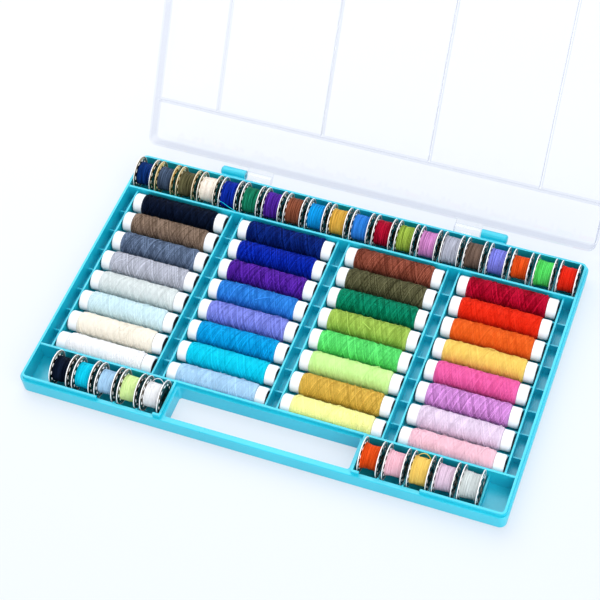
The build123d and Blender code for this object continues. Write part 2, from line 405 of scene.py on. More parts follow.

# %% [markdown]
# ## Thread
#
# Sewing thread is a fine, slightly glossy yarn. On a spool it lies in two crossing families of
# helices; on a bobbin it runs almost straight round. The yarns on top are real geometry, made
# further down. Between them shows the wound body, and this material draws its yarns from the
# winding's own map: `u` counts turns round the axis, and `v` the distance along it as a share of
# one turn's advance. So `v - u` and `v + u` are constant along the two families, and a pattern
# on them follows the yarn. Whole numbers of yarns to a turn make it close without a seam.
# The wound body is painted darker than the yarns on top, as painted shade between them.

# %% Thread material
def thread_finish(name, colour, crossing):
    red, green, blue, _ = colour
    # The yarn's shading runs from dark to pale. The lighter the thread, the nearer they are.
    lightness = 0.3 * red + 0.6 * green + 0.1 * blue
    deep = (0.54 if crossing else 0.58) + 0.42 * lightness
    reach = min(1.9 - lightness, 0.98 / max(red, green, blue))
    dark = tuple(deep * c ** (1.35 - 0.3 * lightness) for c in (red, green, blue)) + (1.0,)
    pale = tuple(reach * c + 0.008 for c in (red, green, blue)) + (1.0,)
    finish = Finish(name, IOR=1.5, Sheen_Weight=0.05, Sheen_Roughness=0.4, Sheen_Tint=pale,
                    Specular_IOR_Level=0.25, Specular_Tint=pale)
    place = finish.node("ShaderNodeUVMap", {"uv_map": "UVMap"}, out="UV")
    split = finish.node("ShaderNodeSeparateXYZ", {}, [place], out="X")
    around, along = split, split.out("Y")
    yarns_to_a_turn = 26.0 if crossing else 1.0
    shades, heights = [], []
    for lean in ((-1.0, 1.0) if crossing else (0.0,)):
        line = along + around * lean if crossing else along
        turn = line * (2.0 * math.pi)
        course = ([turn.cos() * 3.2, turn.sin() * 3.2, along * 2.0] if crossing
                  else [along * 9.0, 0.0, 0.0])
        streak_place = finish.node("ShaderNodeCombineXYZ", {}, course)
        streak = finish.noise(1.6, 3.0, 0.6, vector=streak_place)
        ridge = (line * (math.pi * yarns_to_a_turn)).sin().abs()
        shades.append(streak)
        heights.append(ridge)
    patches = finish.noise(330.0, 2.0)
    on_top = patches.spread(0.44, 0.56, kind="SMOOTHSTEP")
    if crossing:
        shade = shades[0] * (1.0 - on_top) + shades[1] * on_top
        height = heights[0] * (1.0 - on_top) + heights[1] * on_top
    else:
        shade, height = shades[0], heights[0]
    # The winding's attribute carries painted shade on the wound body and random tone on each top
    # yarn.
    own = finish.node("ShaderNodeAttribute", {"attribute_name": "tint"}, out="Fac")
    fuzz = finish.noise(2400.0, 2.0)
    # The ridge also lightens each yarn's crest and darkens the groove beside it: painted shade,
    # besides the bump that the same ridge drives.
    light = (shade.spread(0.3, 0.7, -0.04, 0.34) + own * 0.95 + height * 0.24 -
             (0.06 if crossing else 0.0) + fuzz.spread(0.3, 0.7, -0.08, 0.08))
    finish.feed(
        Base_Color=finish.blend(light.spread(0.0, 1.0), dark, pale),
        Roughness=fuzz.spread(0.3, 0.7, 0.52, 0.68),
        Normal=finish.bump(height + fuzz * 0.3, 0.0002, 0.8),
    )
    return finish.material


thread_colours = {
    "black": (2, 16, 40), "taupe": (132, 112, 96), "slate": (102, 118, 142),
    "lavender_grey": (188, 190, 200), "silver_green": (226, 232, 230),
    "pale_aqua": (216, 238, 242), "cream": (254, 247, 232), "white": (254, 254, 254),
    "navy": (2, 36, 114), "royal_blue": (2, 42, 166), "purple": (82, 32, 148),
    "medium_blue": (58, 148, 230), "periwinkle": (138, 148, 226), "cerulean": (2, 172, 228),
    "cyan": (10, 218, 242), "light_blue": (184, 220, 244), "red_brown": (140, 76, 58),
    "dark_olive": (94, 92, 64), "dark_green": (2, 130, 96), "olive_green": (166, 196, 90),
    "bright_green": (104, 222, 120), "lime": (218, 254, 168), "mustard": (218, 182, 84),
    "yellow": (254, 254, 172), "crimson": (174, 4, 46), "red": (254, 60, 28),
    "orange": (254, 120, 44), "golden_orange": (254, 220, 116), "hot_pink": (254, 118, 186),
    "orchid": (206, 144, 206), "light_lilac": (236, 218, 236), "pink": (254, 212, 224),
    "emerald": (24, 128, 96), "sky_blue": (10, 150, 222), "yellow_green": (142, 176, 64),
    "grey": (178, 184, 196), "violet": (112, 112, 212), "green": (76, 212, 92),
}
# Many bobbins throw back more or less red, green and blue than the spool of the same name: these
# factors scale that colour.
bobbin_shades = {
    "black": (0.8, 1.0, 0.9), "navy": (2.0, 1.5, 0.84), "slate": (0.4, 0.45, 0.5),
    "dark_olive": (0.85, 0.82, 0.78), "cream": (1.1, 1.08, 1.1), "royal_blue": (0.8, 0.86, 0.74),
    "emerald": (0.6, 0.87, 0.86), "purple": (0.95, 1.2, 0.98), "red_brown": (0.9, 1.0, 0.85),
    "sky_blue": (1.0, 1.15, 1.0), "mustard": (1.05, 0.97, 0.85), "crimson": (0.8, 0.9, 0.78),
    "yellow_green": (1.06, 0.92, 1.05), "orchid": (0.97, 0.93, 0.86), "grey": (1.08, 1.02, 1.01),
    "taupe": (0.6, 0.56, 0.58), "violet": (1.5, 1.6, 1.12), "orange": (0.92, 0.62, 0.46),
    "green": (1.35, 0.97, 1.2), "red": (1.0, 0.75, 0.8), "lime": (1.12, 0.97, 1.12),
    "pink": (1.1, 1.04, 1.04), "light_lilac": (0.93, 0.88, 0.87), "silver_green": (0.9, 0.9, 0.9),
}
thread_materials = {}


def thread(colour, crossing):
    key = (colour, crossing)
    if key not in thread_materials:
        name = f"thread_{colour}_{'crossed' if crossing else 'straight'}"
        unchanged = (1.0, 1.0, 1.0)
        shade = unchanged if crossing else bobbin_shades.get(colour, unchanged)
        *channels, alpha = linear(*thread_colours[colour])
        shaded = tuple(c * change for c, change in zip(channels, shade)) + (alpha,)
        thread_materials[key] = thread_finish(name, shaded, crossing)
    return thread_materials[key]


print("thread colours:", len(thread_colours))

# %% [markdown]
# ## Sizes
#
# These are the sizes of the CAD model's spool and bobbin. The places are read from the model.

# %% Sizes
spool_length = 57.3 * mm
tube_radius = 5.75 * mm
tube_bore = 4.6 * mm
winding_radius = 6.6 * mm
bare_end = 5.6 * mm
winding_taper = 2.0 * mm
bobbin_radius = 10.1 * mm
bobbin_width = 10.8 * mm
bobbin_bore = 3.0 * mm


def middle(node):
    low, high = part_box(node)
    return (low + high) / 2


print("first spool at", [round(v, 4) for v in middle("spool_black")])


# %% [markdown]
# ## Turned pieces
#
# A spool tube is a lathe shape: a closed profile swung once round the axis. The function takes
# the profile as points (along the axis, radius) and joins the rings into quads, with each quad's
# corners in the order that makes its face point outwards.

# %% Lathe helper
def ring_mesh(name, profile, sides, painted_shade_below):
    """A closed profile of (x, radius) points, turned round the X axis. Points nearer the axis
    than the given radius are marked as inside, where the bore gets a painted shade."""
    points = np.array(profile)
    angles = np.arange(sides) * (2 * math.pi / sides)
    xs = np.repeat(points[:, 0], sides)
    radii = np.repeat(points[:, 1], sides)
    turns = np.tile(angles, len(points))
    verts = np.stack([xs, radii * np.cos(turns), radii * np.sin(turns)], axis=1)
    faces = []
    for row in range(len(points)):
        above = (row + 1) % len(points)
        for side in range(sides):
            beside = (side + 1) % sides
            faces.append((row * sides + side, row * sides + beside,
                          above * sides + beside, above * sides + side))
    mesh = bpy.data.meshes.new(name)
    mesh.from_pydata(verts.tolist(), [], faces)
    mesh.shade_smooth()
    inside = mesh.attributes.new("inside", "FLOAT", "POINT")
    inside.data.foreach_set("value", (radii < painted_shade_below).astype(np.float32))
    return mesh


def corner_arc(centre_x, centre_r, radius, start, end, steps):
    """Points of a rounded corner in a profile, from one angle to another in degrees."""
    turns = [math.radians(start + (end - start) * step / steps) for step in range(steps + 1)]
    return [(centre_x + radius * math.cos(turn), centre_r + radius * math.sin(turn))
            for turn in turns]


def add_piece(name, mesh, material, body, nodes=()):
    """A finished mesh as a piece that rides on a body."""
    piece = bpy.data.objects.new(name, mesh)
    scene.collection.objects.link(piece)
    mesh.materials.clear()
    mesh.materials.append(material)
    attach(piece, body)
    if nodes:
        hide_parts(*nodes)


print("lathe helper ready")


# %% Spool tube
def tube_profile():
    half, edge, lip = spool_length / 2, 1.1 * mm, 0.3 * mm
    right = corner_arc(half - edge, tube_radius - edge, edge, 90, 0, 6)
    right_bore = corner_arc(half - lip, tube_bore + lip, lip, 0, -90, 3)
    outside_to_right = right + right_bore
    left = [(-x, r) for x, r in reversed(outside_to_right)]
    return outside_to_right + left


tube_mesh = ring_mesh("spool_tube", tube_profile(), 40, tube_bore + 0.2 * mm)
print("tube faces:", len(tube_mesh.polygons))

# %% [markdown]
# ## Cross winding
#
# The machine that winds a spool turns it while it leads the yarn to and fro, so one yarn lies in
# crossing helices. That is a rule, which is what Geometry Nodes are for. The tree makes two
# things from it. A grid is wrapped round the axis as the wound body, and one long line is bent
# into the last passes of the yarn, which lie on top and lift off here and there.

# %% Geometry helper
class Builder(Graph):
    """A Geometry Nodes tree with named inputs."""

    kinds = {float: "NodeSocketFloat", int: "NodeSocketInt", type(None): "NodeSocketMaterial"}

    def __init__(self, name, inputs):
        super().__init__(bpy.data.node_groups.new(name, "GeometryNodeTree"))
        self.tree.interface.new_socket("Geometry", in_out="OUTPUT",
                                       socket_type="NodeSocketGeometry")
        for title, value in inputs.items():
            socket = self.tree.interface.new_socket(title, in_out="INPUT",
                                                    socket_type=self.kinds[type(value)])
            if value is not None:
                socket.default_value = value
        entry = self.tree.nodes.new("NodeGroupInput")
        self.input = {s.name: Wire(self, s) for s in entry.outputs if s.name}

    def finish(self, geometry, material):
        """Ends the tree: real geometry, smooth, with its material."""
        real = self.node("GeometryNodeRealizeInstances", {}, [geometry])
        smooth = self.node("GeometryNodeSetShadeSmooth", {}, {"Geometry": real})
        painted = self.node("GeometryNodeSetMaterial", {},
                            {"Geometry": smooth, "Material": material})
        exit_node = self.tree.nodes.new("NodeGroupOutput")
        self.tree.links.new(painted.socket, exit_node.inputs[0])

    def join(self, *parts):
        made = self.tree.nodes.new("GeometryNodeJoinGeometry")
        for part in reversed(parts):
            self.tree.links.new(part.socket, made.inputs[0])
        return Wire(self, made.outputs[0])

    def noise(self, place, detail=1.0):
        """Smooth noise along a line, around 0.5."""
        return self.node("ShaderNodeTexNoise", {"noise_dimensions": "1D"},
                         {"W": place, "Scale": 1.0, "Detail": detail}, out="Fac")

    def vector(self, x, y, z):
        return self.node("ShaderNodeCombineXYZ", {}, [x, y, z])

    def store(self, geometry, name, value, kind="FLOAT", domain="POINT"):
        return self.node("GeometryNodeStoreNamedAttribute",
                         {"data_type": kind, "domain": domain},
                         {"Geometry": geometry, "Name": name, "Value": value})

    def wrap(self, x, radius, angle):
        """A place at a distance along the X axis, a radius and an angle round it."""
        return self.vector(x, radius * angle.cos(), radius * angle.sin())

    def yarn(self, count, place, tint, yarn_radius):
        """One yarn through places that are a formula of its own length."""
        line = self.node("GeometryNodeCurvePrimitiveLine", {}, {"End": (1.0, 0.0, 0.0)})
        points = self.node("GeometryNodeResampleCurve", {}, {"Curve": line, "Count": count})
        tinted = self.store(points, "tint", tint)
        bent = self.node("GeometryNodeSetPosition", {}, {"Geometry": tinted, "Position": place})
        section = self.node("GeometryNodeCurvePrimitiveCircle", {},
                            {"Resolution": 4, "Radius": yarn_radius})
        return self.node("GeometryNodeCurveToMesh", {},
                         {"Curve": bent, "Profile Curve": section, "Fill Caps": True})

    def loop(self, given, wound_radius):
        """One stray loop that stands up from the winding."""
        way = self.node("GeometryNodeSplineParameter", {}, out="Factor")
        x = given["Loop Place"] + (way - 0.5) * given["Loop Run"]
        turn = given["Loop Turn"] + (way - 0.5) * given["Loop Span"]
        rise = (way * math.pi).sin() ** 0.7 * given["Loop Rise"]
        place = self.wrap(x, wound_radius(x) + rise, turn * (2.0 * math.pi))
        return self.yarn(26, place, 1.0, given["Yarn Radius"])


def bake_tree(name, builder, **values):
    """The plain mesh that a tree makes with these inputs."""
    carrier = bpy.data.objects.new(name, bpy.data.meshes.new(name))
    scene.collection.objects.link(carrier)
    modifier = carrier.modifiers.new(builder.tree.name, "NODES")
    modifier.node_group = builder.tree
    for item in builder.tree.interface.items_tree:
        key = item.name.replace(" ", "_")
        if item.in_out == "INPUT" and key in values:
            modifier[item.identifier] = values[key]
    evaluated = carrier.evaluated_get(bpy.context.evaluated_depsgraph_get())
    mesh = bpy.data.meshes.new_from_object(evaluated)
    mesh.name = name
    bpy.data.objects.remove(carrier)
    return mesh


print("geometry helper ready")


# %% Winding tree
def cross_winding():
    tree = Builder("cross_winding", {
        "Length": spool_length - 2 * bare_end, "Radius": winding_radius, "Tube": tube_radius,
        "Taper": winding_taper, "Yarn Radius": 0.22 * mm, "Passes": 33, "Turns": 2.88,
        "Lift": 0.45 * mm, "Loop Place": 0.0, "Loop Run": 6.0 * mm, "Loop Turn": 0.3,
        "Loop Span": 0.05, "Loop Rise": 0.0, "Seed": 0, "Material": None})
    given = tree.input
    length, radius, tube = given["Length"], given["Radius"], given["Tube"]
    seed = given["Seed"] * 7.31

    def wound_radius(x):
        """Radius of the wound body at x: full in the middle, down on the tube at both ends."""
        left = length * 0.5 - x.abs()
        rise = left.spread(0.0, given["Taper"], kind="SMOOTHSTEP")
        swell = tree.noise(x * 160.0 + seed) - 0.5
        return tube + (radius - tube - given["Yarn Radius"] * 1.6 + swell * (0.5 * mm)) * rise

    rows, sides = 56, 48
    grid = tree.node("GeometryNodeMeshGrid", {},
                     {"Size X": 1.0, "Size Y": 1.0, "Vertices X": sides + 1,
                      "Vertices Y": rows + 3})
    spot = tree.node("GeometryNodeInputPosition")
    parts = tree.node("ShaderNodeSeparateXYZ", {}, [spot], out="X")
    around = parts + 0.5
    # The first and the last row lie hidden in the tube's wall and close the body.
    row = ((parts.out("Y") + 0.5) * float(rows + 2)).round()
    share = (row - 1.0).spread(0.0, float(rows))
    last = row.over(rows + 1.5)
    hidden = 1.0 - row.over(0.5) + last
    x = (share - 0.5) * length * (1.0 - 2.0 * last)
    angle = around * (2.0 * math.pi)
    body = wound_radius(x)
    hidden_depth = 0.5 * mm
    inside = tube - hidden_depth
    outer = tree.wrap(x, body + (inside - body) * hidden, angle)
    mapped = tree.store(
        grid, "UVMap",
        tree.vector(around, x / length * given["Turns"], 0.0), "FLOAT2", "CORNER")
    wrapped = tree.node("GeometryNodeSetPosition", {}, {"Geometry": mapped, "Position": outer})
    # The wound body under the top yarns gets a low value that the thread material turns into
    # painted shade between the yarns.
    body_painted_shade = 0.22
    shaded = tree.store(wrapped, "tint", body_painted_shade)
    solid = tree.node("GeometryNodeMergeByDistance", {},
                      {"Geometry": shaded, "Distance": 0.0001 * mm})

    way = tree.node("GeometryNodeSplineParameter", {}, out="Factor")
    passes = given["Passes"]
    passed = way * passes
    turn_back = passed.round()
    chance = tree.node("FunctionNodeRandomValue", {"data_type": "FLOAT"},
                       {"ID": turn_back, "Seed": given["Seed"], "Min_001": 0.92,
                        "Max_001": 0.995}, out="Value_001")
    wobble = tree.noise(passed * 2.7 + seed, 2.0) - 0.5
    run = (passed.pingpong(1.0) - 0.5) * length * chance + wobble * (1.4 * mm)
    swing = passed * given["Turns"] * (2.0 * math.pi) + wobble * 0.9 + seed
    lift = (tree.noise(passed * 1.9 + seed * 3.0) - 0.6).most(0.0) * 5.0
    height = wound_radius(run) + given["Yarn Radius"] * 0.8 + lift * given["Lift"]
    own_tint = tree.node("FunctionNodeRandomValue", {"data_type": "FLOAT"},
                         {"ID": passed.floor(), "Seed": given["Seed"] + 5, "Min_001": 0.0,
                          "Max_001": 1.0}, out="Value_001") ** 2.0
    points_to_a_pass = 62.0
    strand = tree.yarn(passes * points_to_a_pass, tree.wrap(run, height, swing), own_tint,
                       given["Yarn Radius"])
    loop = tree.loop(given, wound_radius)
    tree.finish(tree.join(solid, strand, loop), given["Material"])
    return tree


spool_winding = cross_winding()
print("nodes in the winding tree:", len(spool_winding.tree.nodes))

# %% Spools
spools = sorted(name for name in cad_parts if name.startswith("spool_"))
stray_loops = {
    "golden_orange": dict(Loop_Place=2.0 * mm, Loop_Run=8.5 * mm, Loop_Turn=0.11,
                          Loop_Span=0.03, Loop_Rise=0.9 * mm),
    "olive_green": dict(Loop_Place=-1.0 * mm, Loop_Run=6.0 * mm, Loop_Turn=0.3,
                        Loop_Span=0.08, Loop_Rise=0.7 * mm),
    "lavender_grey": dict(Loop_Place=-17.0 * mm, Loop_Run=5.5 * mm, Loop_Turn=0.3,
                          Loop_Span=-0.09, Loop_Rise=0.5 * mm),
    "purple": dict(Loop_Place=5.0 * mm, Loop_Run=3.0 * mm, Loop_Turn=0.33, Loop_Span=0.06,
                   Loop_Rise=0.9 * mm),
    "medium_blue": dict(Loop_Place=4.0 * mm, Loop_Run=9.0 * mm, Loop_Turn=0.3,
                        Loop_Span=-0.1, Loop_Rise=0.5 * mm),
}
for number, name in enumerate(spools):
    colour = name[len("spool_"):]
    place = Matrix.Translation(middle(name))
    tube = tube_mesh.copy()
    tube.transform(place)
    add_piece(f"{name}_tube", tube, tube_plastic, name, [name])
    mesh = bake_tree(f"{name}_winding", spool_winding, Seed=number,
                     Material=thread(colour, True), **stray_loops.get(colour, {}))
    mesh.transform(place)
    add_piece(f"{name}_winding", mesh, thread(colour, True), name)
print("spools:", len(spools), "faces in one winding:", len(mesh.polygons))

# %% [markdown]
# ## Bobbins
#
# A bobbin is two thin pressed flanges on a short tube. A ring of ovals is pressed into each
# flange, and its edge is curled over; the ovals and the curl are painted near white as painted
# highlights. Geometry Nodes make the flange as a sheet-metal worker would: the outline is drawn
# flat and filled, the sheet gets its thickness, the ovals are set round it, and the curled edge
# is a ring swept round the sheet. The hub is the same kind of flat ring, drawn smaller and pulled
# out to the width of the bobbin.

# %% Flange tree
def pressed_bobbin():
    tree = Builder("pressed_bobbin", {
        "Radius": bobbin_radius, "Width": bobbin_width, "Bore": bobbin_bore,
        "Sheet": 0.35 * mm, "Curl": 0.29 * mm, "Inset": 0.42 * mm, "Ovals": 10,
        "Oval Length": 2.9 * mm, "Oval Width": 1.35 * mm, "Oval Height": 0.84 * mm,
        "Oval Ring": 7.25 * mm, "Hub Wall": 0.5 * mm, "Material": None})
    given = tree.input

    def circle(radius, resolution):
        return tree.node("GeometryNodeCurvePrimitiveCircle", {},
                         {"Resolution": resolution, "Radius": radius})

    edge = circle(given["Radius"] - given["Curl"], 56)
    centres = circle(given["Oval Ring"], given["Ovals"])
    ball = tree.node("GeometryNodeMeshUVSphere", {}, {"Segments": 12, "Rings": 6, "Radius": 0.5})
    oval = tree.node("GeometryNodeTransform", {},
                     {"Geometry": ball,
                      "Scale": tree.vector(given["Oval Width"], given["Oval Length"],
                                           given["Oval Height"])})
    place = tree.node("GeometryNodeInputIndex") * (2.0 * math.pi) / given["Ovals"]
    # The ovals, and further down the curl, are marked for a painted highlight in the nickel
    # material.
    ovals = tree.node("GeometryNodeInstanceOnPoints", {},
                      {"Points": centres, "Instance": tree.store(oval, "rim", 1.0),
                       "Rotation": tree.vector(0.0, 0.0, place)})
    ovals = tree.node("GeometryNodeRealizeInstances", {}, [ovals])

    def ring_plate(outer, depth):
        """A flat ring between a curve and the bore, as thick as depth, round its own middle."""
        sheet = tree.node("GeometryNodeFillCurve", {},
                          {"Curve": tree.join(outer, circle(given["Bore"], 28))})
        back = tree.node("GeometryNodeFlipFaces", {}, {"Mesh": sheet})
        pulled = tree.node("GeometryNodeExtrudeMesh", {"mode": "FACES"},
                           {"Mesh": sheet, "Offset": (0.0, 0.0, 1.0), "Offset Scale": depth,
                            "Individual": False})
        closed = tree.node("GeometryNodeMergeByDistance", {},
                           {"Geometry": tree.join(pulled, back), "Distance": 0.0001 * mm})
        return tree.node("GeometryNodeTransform", {},
                         {"Geometry": closed, "Translation": tree.vector(0.0, 0.0, depth * -0.5)})

    plate = ring_plate(edge, given["Sheet"])
    curl = tree.node("GeometryNodeCurveToMesh", {},
                     {"Curve": edge, "Profile Curve": circle(given["Curl"], 8)})
    # The curl's painted highlight is a little weaker than the ovals'.
    curl_painted_highlight = 0.85
    flange = tree.join(plate, ovals, tree.store(curl, "rim", curl_painted_highlight))
    half = given["Width"] * 0.5 - given["Inset"]
    flanges = [
        tree.node("GeometryNodeTransform", {},
                  {"Geometry": flange, "Rotation": (0.0, side * math.pi / 2, 0.0),
                   "Translation": tree.vector(half * side, 0.0, 0.0)})
        for side in (-1.0, 1.0)]
    hub = tree.node("GeometryNodeTransform", {},
                    {"Geometry": ring_plate(circle(given["Bore"] + given["Hub Wall"], 28),
                                            half * 2.0),
                     "Rotation": (0.0, math.pi / 2, 0.0)})
    tree.finish(tree.join(*flanges, hub), given["Material"])
    return tree


bobbin_tree = pressed_bobbin()
bobbin_mesh = bake_tree("bobbin_metal", bobbin_tree, Material=bobbin_metal)
print("bobbin faces:", len(bobbin_mesh.polygons))


# %% Bobbin winding tree
def straight_winding():
    tree = Builder("straight_winding", {
        "Width": bobbin_width - 1.5 * mm, "Radius": 7.2 * mm, "Hub": 3.4 * mm,
        "Yarn Radius": 0.19 * mm, "Turns": 25, "Dip": 0.0, "Slant": 0.0, "Rough": 0.25 * mm,
        "Loop Place": 0.0, "Loop Run": 7.5 * mm, "Loop Turn": 0.11, "Loop Span": 0.02,
        "Loop Rise": 0.0, "Seed": 0, "Material": None})
    given = tree.input
    width, seed = given["Width"], given["Seed"] * 5.17

    def wound_radius(x):
        """Radius across the bobbin: dipped or slanted as it was wound, and a little uneven."""
        share = x / (width * 0.5)
        uneven = (tree.noise(share * 1.3 + seed, 2.0) - 0.5) * 2.0
        return (given["Radius"] - given["Dip"] * (1.0 - share * share) + given["Slant"] * share
                + uneven * given["Rough"])

    rows, sides = 14, 40
    grid = tree.node("GeometryNodeMeshGrid", {},
                     {"Size X": 1.0, "Size Y": 1.0, "Vertices X": sides + 1,
                      "Vertices Y": rows + 4})
    parts = tree.node("ShaderNodeSeparateXYZ", {},
                      [tree.node("GeometryNodeInputPosition")], out="X")
    around = parts + 0.5
    # The first row and the last two lie in the hub's wall. The last meets the first and closes
    # the body.
    row = ((parts.out("Y") + 0.5) * float(rows + 3)).round()
    share = (row - 1.0).spread(0.0, float(rows))
    last = row.over(rows + 2.5)
    hidden = 1.0 - row.over(0.5) + row.over(rows + 1.5)
    x = (share - 0.5) * width * (1.0 - 2.0 * last)
    body = wound_radius(x) - given["Yarn Radius"] * 0.6
    place = tree.wrap(x, body + (given["Hub"] - body) * hidden, around * (2.0 * math.pi))
    yarns_across = 32.0
    mapped = tree.store(grid, "UVMap", tree.vector(around, x / width * yarns_across, 0.0),
                        "FLOAT2", "CORNER")
    wrapped = tree.node("GeometryNodeSetPosition", {}, {"Geometry": mapped, "Position": place})
    # The wound body gets 0, the darkest painted shade, between the top yarns.
    shaded = tree.store(wrapped, "tint", 0.0)
    solid = tree.node("GeometryNodeMergeByDistance", {},
                      {"Geometry": shaded, "Distance": 0.0001 * mm})

    way = tree.node("GeometryNodeSplineParameter", {}, out="Factor")
    turns, back_turns, points_to_a_turn = given["Turns"], 12.0, 30.0
    passed = way * (turns + back_turns)
    first = (passed / turns).least(1.0)
    returning = ((passed - turns) / back_turns).most(0.0)
    wobble = tree.noise(passed * 0.9 + seed, 2.0) - 0.5
    run = ((first - returning) - 0.5) * (width - given["Yarn Radius"] * 2.0)
    run = (run + wobble * (1.5 * mm)).least(width * 0.48).most(width * -0.48)
    swing = passed * (2.0 * math.pi) + seed
    lift = (tree.noise(passed * 1.3 + seed * 2.0) - 0.66).most(0.0) * (1.6 * mm)
    height = wound_radius(run) + lift + returning.over(0.0) * given["Yarn Radius"] * 1.2
    own_tint = tree.noise(passed * 1.7 + seed * 4.0, 2.0).spread(0.35, 0.65)
    strand = tree.yarn((turns + back_turns) * points_to_a_turn,
                       tree.wrap(run, height, swing), own_tint, given["Yarn Radius"])
    loop = tree.loop(given, wound_radius)
    tree.finish(tree.join(solid, strand, loop), given["Material"])
    return tree


bobbin_winding = straight_winding()
print("nodes in the bobbin winding tree:", len(bobbin_winding.tree.nodes))

# %% [markdown]
# Each bobbin in the photograph is wound a little differently: some nearly full, some low, some
# dipped in the middle or higher on one side. Those figures are read from the photograph: the
# wound radius, the dip and the slant, in millimetres. A fourth figure says how far a stray loop
# stands up.

# %% How each bobbin is wound
back_row = {
    "navy": (6.2, 0.0, -0.2), "slate": (6.6, 0.2, 0.0), "dark_olive": (6.8, 0.0, -0.2),
    "cream": (6.9, 0.1, 0.1), "royal_blue": (7.5, 0.0, 0.0), "emerald": (7.2, 0.1, 0.0),
    "purple": (7.4, 0.3, -0.2), "red_brown": (7.2, 0.0, 0.0), "sky_blue": (7.0, 0.1, 0.0),
    "mustard": (7.1, 0.2, 0.1), "medium_blue": (7.0, 0.0, 0.0), "crimson": (7.0, 0.1, 0.0),
    "yellow_green": (7.1, 0.1, 0.0), "orchid": (7.3, 0.3, 0.0), "grey": (7.6, 0.3, -0.1),
    "taupe": (7.1, 0.2, 0.1), "violet": (6.9, 0.1, 0.0), "orange": (6.3, 0.2, 0.1),
    "green": (7.3, 0.6, -0.2), "red": (6.9, 0.3, -0.1),
}
front_rows = {
    "front_bobbins_left": [
        ("white", (6.4, 0.0, -0.1, 3.0)), ("lime", (6.6, 0.0, -0.1)),
        ("light_blue", (6.2, 0.1, 0.0)), ("cyan", (6.7, 0.1, 0.1)), ("black", (6.6, 0.1, -0.1))],
    "front_bobbins_right": [
        ("orange", (6.9, 0.9, 0.0)), ("pink", (6.5, 0.3, -0.2)),
        ("golden_orange", (7.2, 0.2, -0.1, 2.5)), ("light_lilac", (6.7, 0.3, -0.2)),
        ("silver_green", (7.3, 0.8, -0.2))],
}
print("bobbins:", len(back_row) + sum(len(row) for row in front_rows.values()))


# %% Bobbins of the back row
def wound(name, colour, shape, seed, place):
    radius, dip, slant, rise = (*shape, 0.0)[:4]
    mesh = bake_tree(name, bobbin_winding, Radius=radius * mm, Dip=dip * mm, Slant=slant * mm,
                     Loop_Rise=rise * mm, Seed=seed, Material=thread(colour, False))
    mesh.transform(place)
    return mesh


def turned(number):
    """The flanges lie as they fell, each bobbin's turned by some angle of its own."""
    return Matrix.Rotation(number * 2.4, 4, "X")


# How yellow the plating of a bobbin is, from 0 to 1.
warm_plate = {"slate": 0.75, "dark_olive": 0.6, "navy": 0.15, "cream": 0.25}
for number, (colour, shape) in enumerate(back_row.items()):
    name = f"bobbin_{colour}"
    place = Matrix.Translation(middle(name))
    metal = bobbin_mesh.copy()
    metal.transform(place @ turned(number))
    warm = np.full(len(metal.vertices), warm_plate.get(colour, 0.0), dtype=np.float32)
    metal.attributes.new("warm", "FLOAT", "POINT").data.foreach_set("value", warm)
    add_piece(f"{name}_metal", metal, bobbin_metal, name, [name])
    mesh = wound(f"{name}_winding", colour, shape, number, place)
    add_piece(f"{name}_winding", mesh, thread(colour, False), name)
print("faces in one bobbin winding:", len(mesh.polygons))

# %% Bobbins of the front bays
bobbin_pitch = 13.433 * mm
first_number, numbers_apart, seed_step = 40, 9, 10
for side, (group, row) in zip((-1, 1), front_rows.items()):
    low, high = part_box(group)
    start = high.x - bobbin_width / 2 if side < 0 else low.x + bobbin_width / 2
    centre = middle(group)
    corners, faces, bright = [], [], []
    for number, (colour, shape) in enumerate(row):
        own_number = first_number + number + numbers_apart * side
        spot = Vector((start + side * number * bobbin_pitch, centre.y, centre.z))
        place = Matrix.Translation(spot)
        metal = bobbin_mesh.copy()
        metal.transform(place @ turned(own_number))
        base = len(corners)
        corners += [tuple(v.co) for v in metal.vertices]
        faces += [tuple(base + i for i in face.vertices) for face in metal.polygons]
        # Each bobbin's painted highlight mask goes with its metal into the joined mesh.
        bright += [point.value for point in metal.attributes["rim"].data]
        name = f"{group}_{colour}_winding"
        mesh = wound(name, colour, shape, own_number + seed_step, place)
        add_piece(name, mesh, thread(colour, False), group)
    joined = bpy.data.meshes.new(f"{group}_metal")
    joined.from_pydata(corners, [], faces)
    joined.attributes.new("rim", "FLOAT", "POINT").data.foreach_set("value", bright)
    joined.shade_smooth()
    add_piece(f"{group}_metal", joined, bobbin_metal, group, [group])
print("front bays done")

# %% [markdown]
# One loose end of thread lies over the divider: a thin tube swept along a smooth line.

